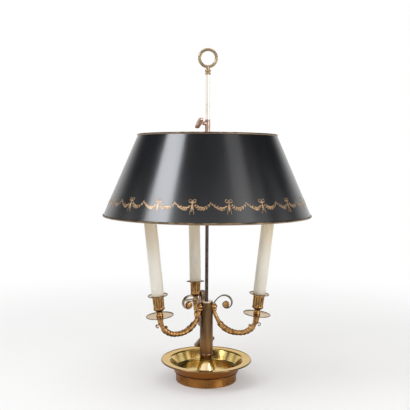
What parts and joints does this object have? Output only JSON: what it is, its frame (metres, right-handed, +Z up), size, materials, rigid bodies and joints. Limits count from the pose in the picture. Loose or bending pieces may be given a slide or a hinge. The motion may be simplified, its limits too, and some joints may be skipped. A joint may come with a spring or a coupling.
{
  "type": "table lamp",
  "caption": "Bouillotte table lamp: candle branches on a column in a drip dish, a mast with a ring, and a sliding tapered metal shade clamped by a winged key.",
  "frame": {"origin": "middle of the foot's underside, on the surface that the lamp stands on", "axes": "+Z up along the mast; -Y towards the viewer of the picture; +X to that viewer's right"},
  "size_m": [0.3997, 0.3998, 0.6406],
  "materials": {
    "felt": "green baize",
    "copper_brass": "aged brass with turned lines",
    "bushing": "moulded",
    "iron": "rough cast",
    "polished_brass": "polished",
    "dark_copper": "dull",
    "steel": "zinc plated",
    "plain_brass": "as machined",
    "dark_brass": "patinated",
    "patina": "brown patina",
    "patina_key": "brown patina",
    "rosy_brass": "worn",
    "bright_tube": "polished",
    "gilt_brass": "aged gilt",
    "gilt_rim": "aged gilt",
    "gilt_bronze": "gilt bronze, toned",
    "thin_brass": "polished sheet",
    "candle_cream": "matt",
    "holder_ivory": "moulded",
    "lamp_glass": "frosted",
    "black_paint": "satin enamel, pale inside"
  },
  "bodies": {
    "base": {"felt_pad": "felt", "foot_ring": "copper_brass", "cord_bushing": "bushing", "base_weight": "iron", "drip_dish": "polished_brass", "pedestal": "polished_brass", "collar_ring": "dark_copper", "stem_pipe": "steel", "stem_washer": "steel", "stem_nut": "steel", "post": "plain_brass", "mast": "dark_brass"},
    "column": {"column": "patina", "column_cap": "dark_brass", "branch_screws": "steel", "branch_1": "gilt_bronze", "volute_1": "gilt_bronze", "drip_pan_1": "thin_brass", "nozzle_1": "gilt_bronze", "candle_ring_1": "thin_brass", "candle_1": "candle_cream", "lampholder_1": "holder_ivory", "candle_lamp_1": "lamp_glass", "branch_2": "gilt_bronze", "volute_2": "gilt_bronze", "drip_pan_2": "thin_brass", "nozzle_2": "gilt_bronze", "candle_ring_2": "thin_brass", "candle_2": "candle_cream", "lampholder_2": "holder_ivory", "candle_lamp_2": "lamp_glass", "branch_3": "gilt_bronze", "volute_3": "gilt_bronze", "drip_pan_3": "thin_brass", "nozzle_3": "gilt_bronze", "candle_ring_3": "thin_brass", "candle_3": "candle_cream", "lampholder_3": "holder_ivory", "candle_lamp_3": "lamp_glass"},
    "column_key": {"column_key": "patina_key"},
    "carrier": {"sleeve": "rosy_brass", "riser_tube": "bright_tube", "finial_collar": "gilt_brass", "ring_finial": "gilt_brass", "hub_nut": "plain_brass"},
    "shade_key": {"shade_key": "rosy_brass"},
    "shade": {"shade_shell": "black_paint", "shade_top_rim": "gilt_rim", "shade_bottom_rim": "gilt_rim", "spider": "plain_brass"}
  },
  "joints": [
    {"name": "column_turn", "type": "hinge", "parent": "base", "child": "column", "pos_m": [0, 0, 0.1], "axis": [0, 0, 1], "range_deg": [-170, 170]},
    {"name": "column_key_turn", "type": "hinge", "parent": "column", "child": "column_key", "pos_m": [0, 0, 0.0685], "axis": [-0.1736, 0.9848, 0], "range_deg": [0, 360]},
    {"name": "shade_height", "type": "slide", "parent": "base", "child": "carrier", "axis": [0, 0, 1], "range_m": [-0.015, 0.06]},
    {"name": "shade_key_turn", "type": "hinge", "parent": "carrier", "child": "shade_key", "pos_m": [0, 0, 0.4984], "axis": [-0.8829, -0.4695, 0], "range_deg": [0, 360]},
    {"name": "shade_turn", "type": "hinge", "parent": "carrier", "child": "shade", "pos_m": [0, 0, 0.465], "axis": [0, 0, 1], "continuous": true}
  ]
}
